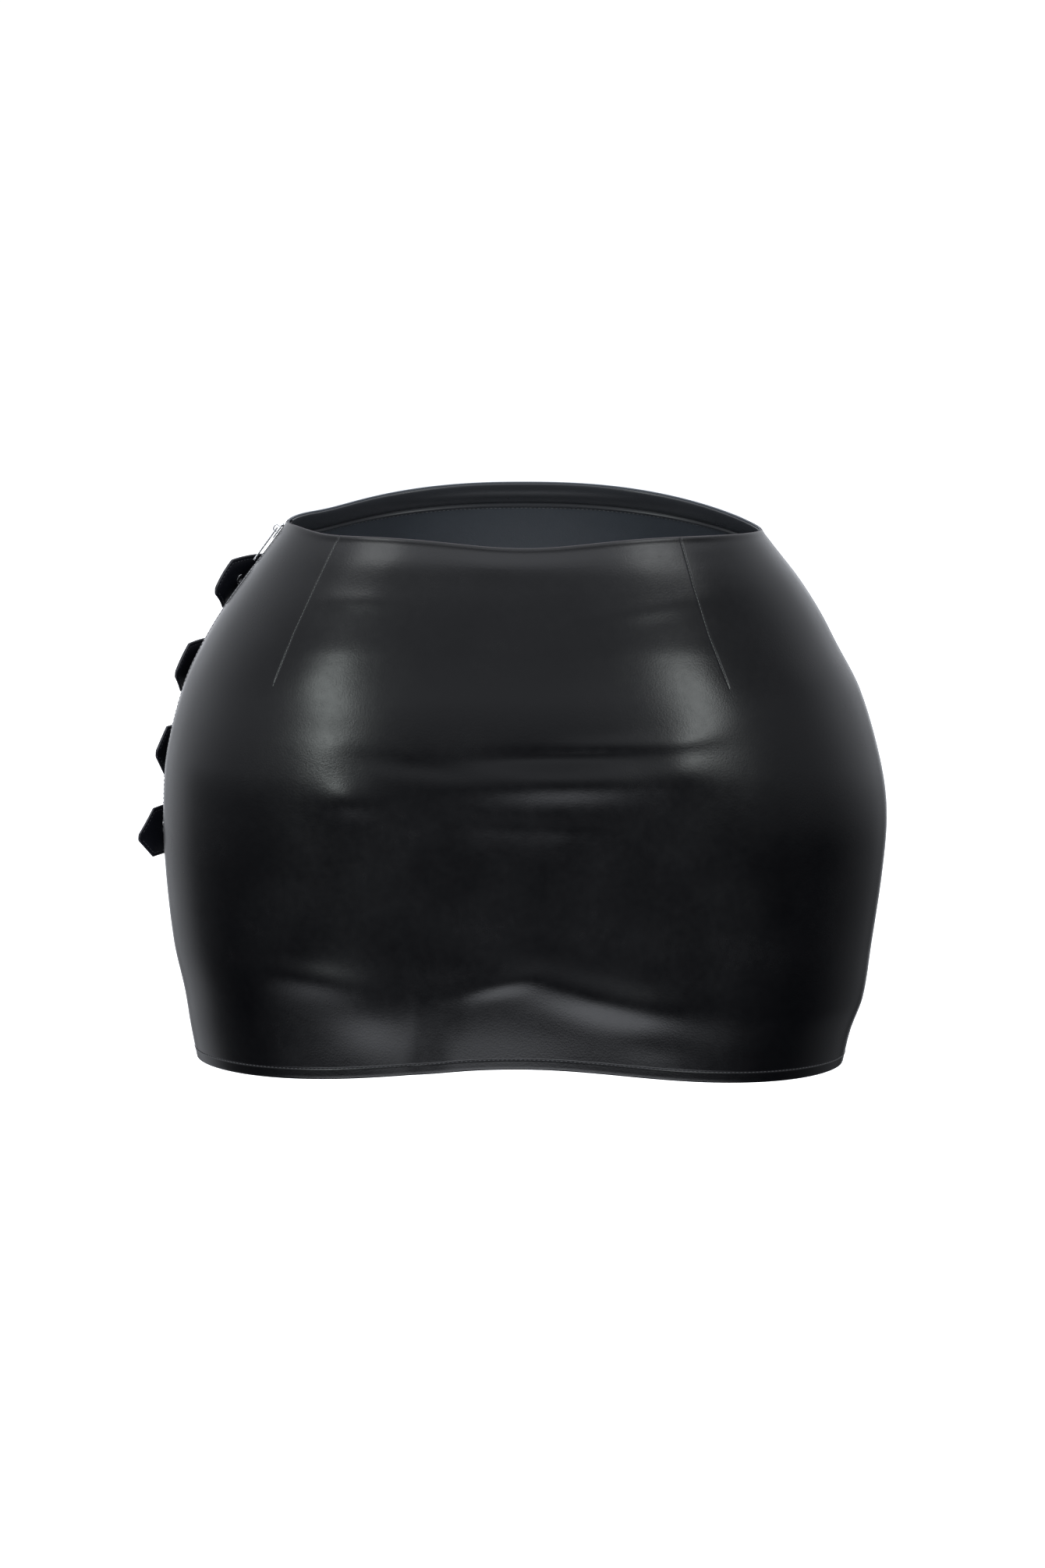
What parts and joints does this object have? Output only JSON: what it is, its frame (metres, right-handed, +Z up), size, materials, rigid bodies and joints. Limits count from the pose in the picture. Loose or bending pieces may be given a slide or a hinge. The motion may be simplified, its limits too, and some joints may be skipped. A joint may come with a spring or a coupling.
{
  "type": "leather mini skirt",
  "caption": "Worn, close-fitting leather mini skirt with front darts, a turned and stitched hem, a side zip and pointed buckle straps standing off the hip.",
  "frame": {"origin": "centre of the waist opening, level with the top of the side seams", "axes": "+Z up towards the waist, -Y towards the wearer's front, +X towards the wearer's left"},
  "size_m": [0.4824, 0.3032, 0.3666],
  "materials": {
    "leather": "glossy black, fine grain",
    "hardware": "polished silver",
    "zip_tape": "matt black twill tape and thread"
  },
  "bodies": {
    "skirt": {"front_panel": "leather", "back_panel": "leather", "waist_facing_back": "leather", "strap_1": "leather", "strap_2": "leather", "strap_3": "leather", "strap_4": "leather", "chape_1": "leather", "chape_2": "leather", "chape_3": "leather", "chape_4": "leather", "zip_chain": "hardware", "zip_bottom_stop": "hardware", "zip_slider": "hardware", "buckle_frame_1": "hardware", "buckle_prong_1": "hardware", "eyelet_1": "hardware", "buckle_frame_2": "hardware", "buckle_prong_2": "hardware", "eyelet_2": "hardware", "buckle_frame_3": "hardware", "buckle_prong_3": "hardware", "eyelet_3": "hardware", "buckle_frame_4": "hardware", "buckle_prong_4": "hardware", "eyelet_4": "hardware", "zip_tape_front": "zip_tape", "zip_tape_back": "zip_tape"},
    "pull_tab": {"zip_pull_tab": "hardware"}
  },
  "joints": [
    {"name": "pull_tab_hinge", "type": "hinge", "parent": "skirt", "child": "pull_tab", "pos_m": [-0.15781, 0, 0.00193], "axis": [0, 1, 0], "range_deg": [0, 150]}
  ]
}
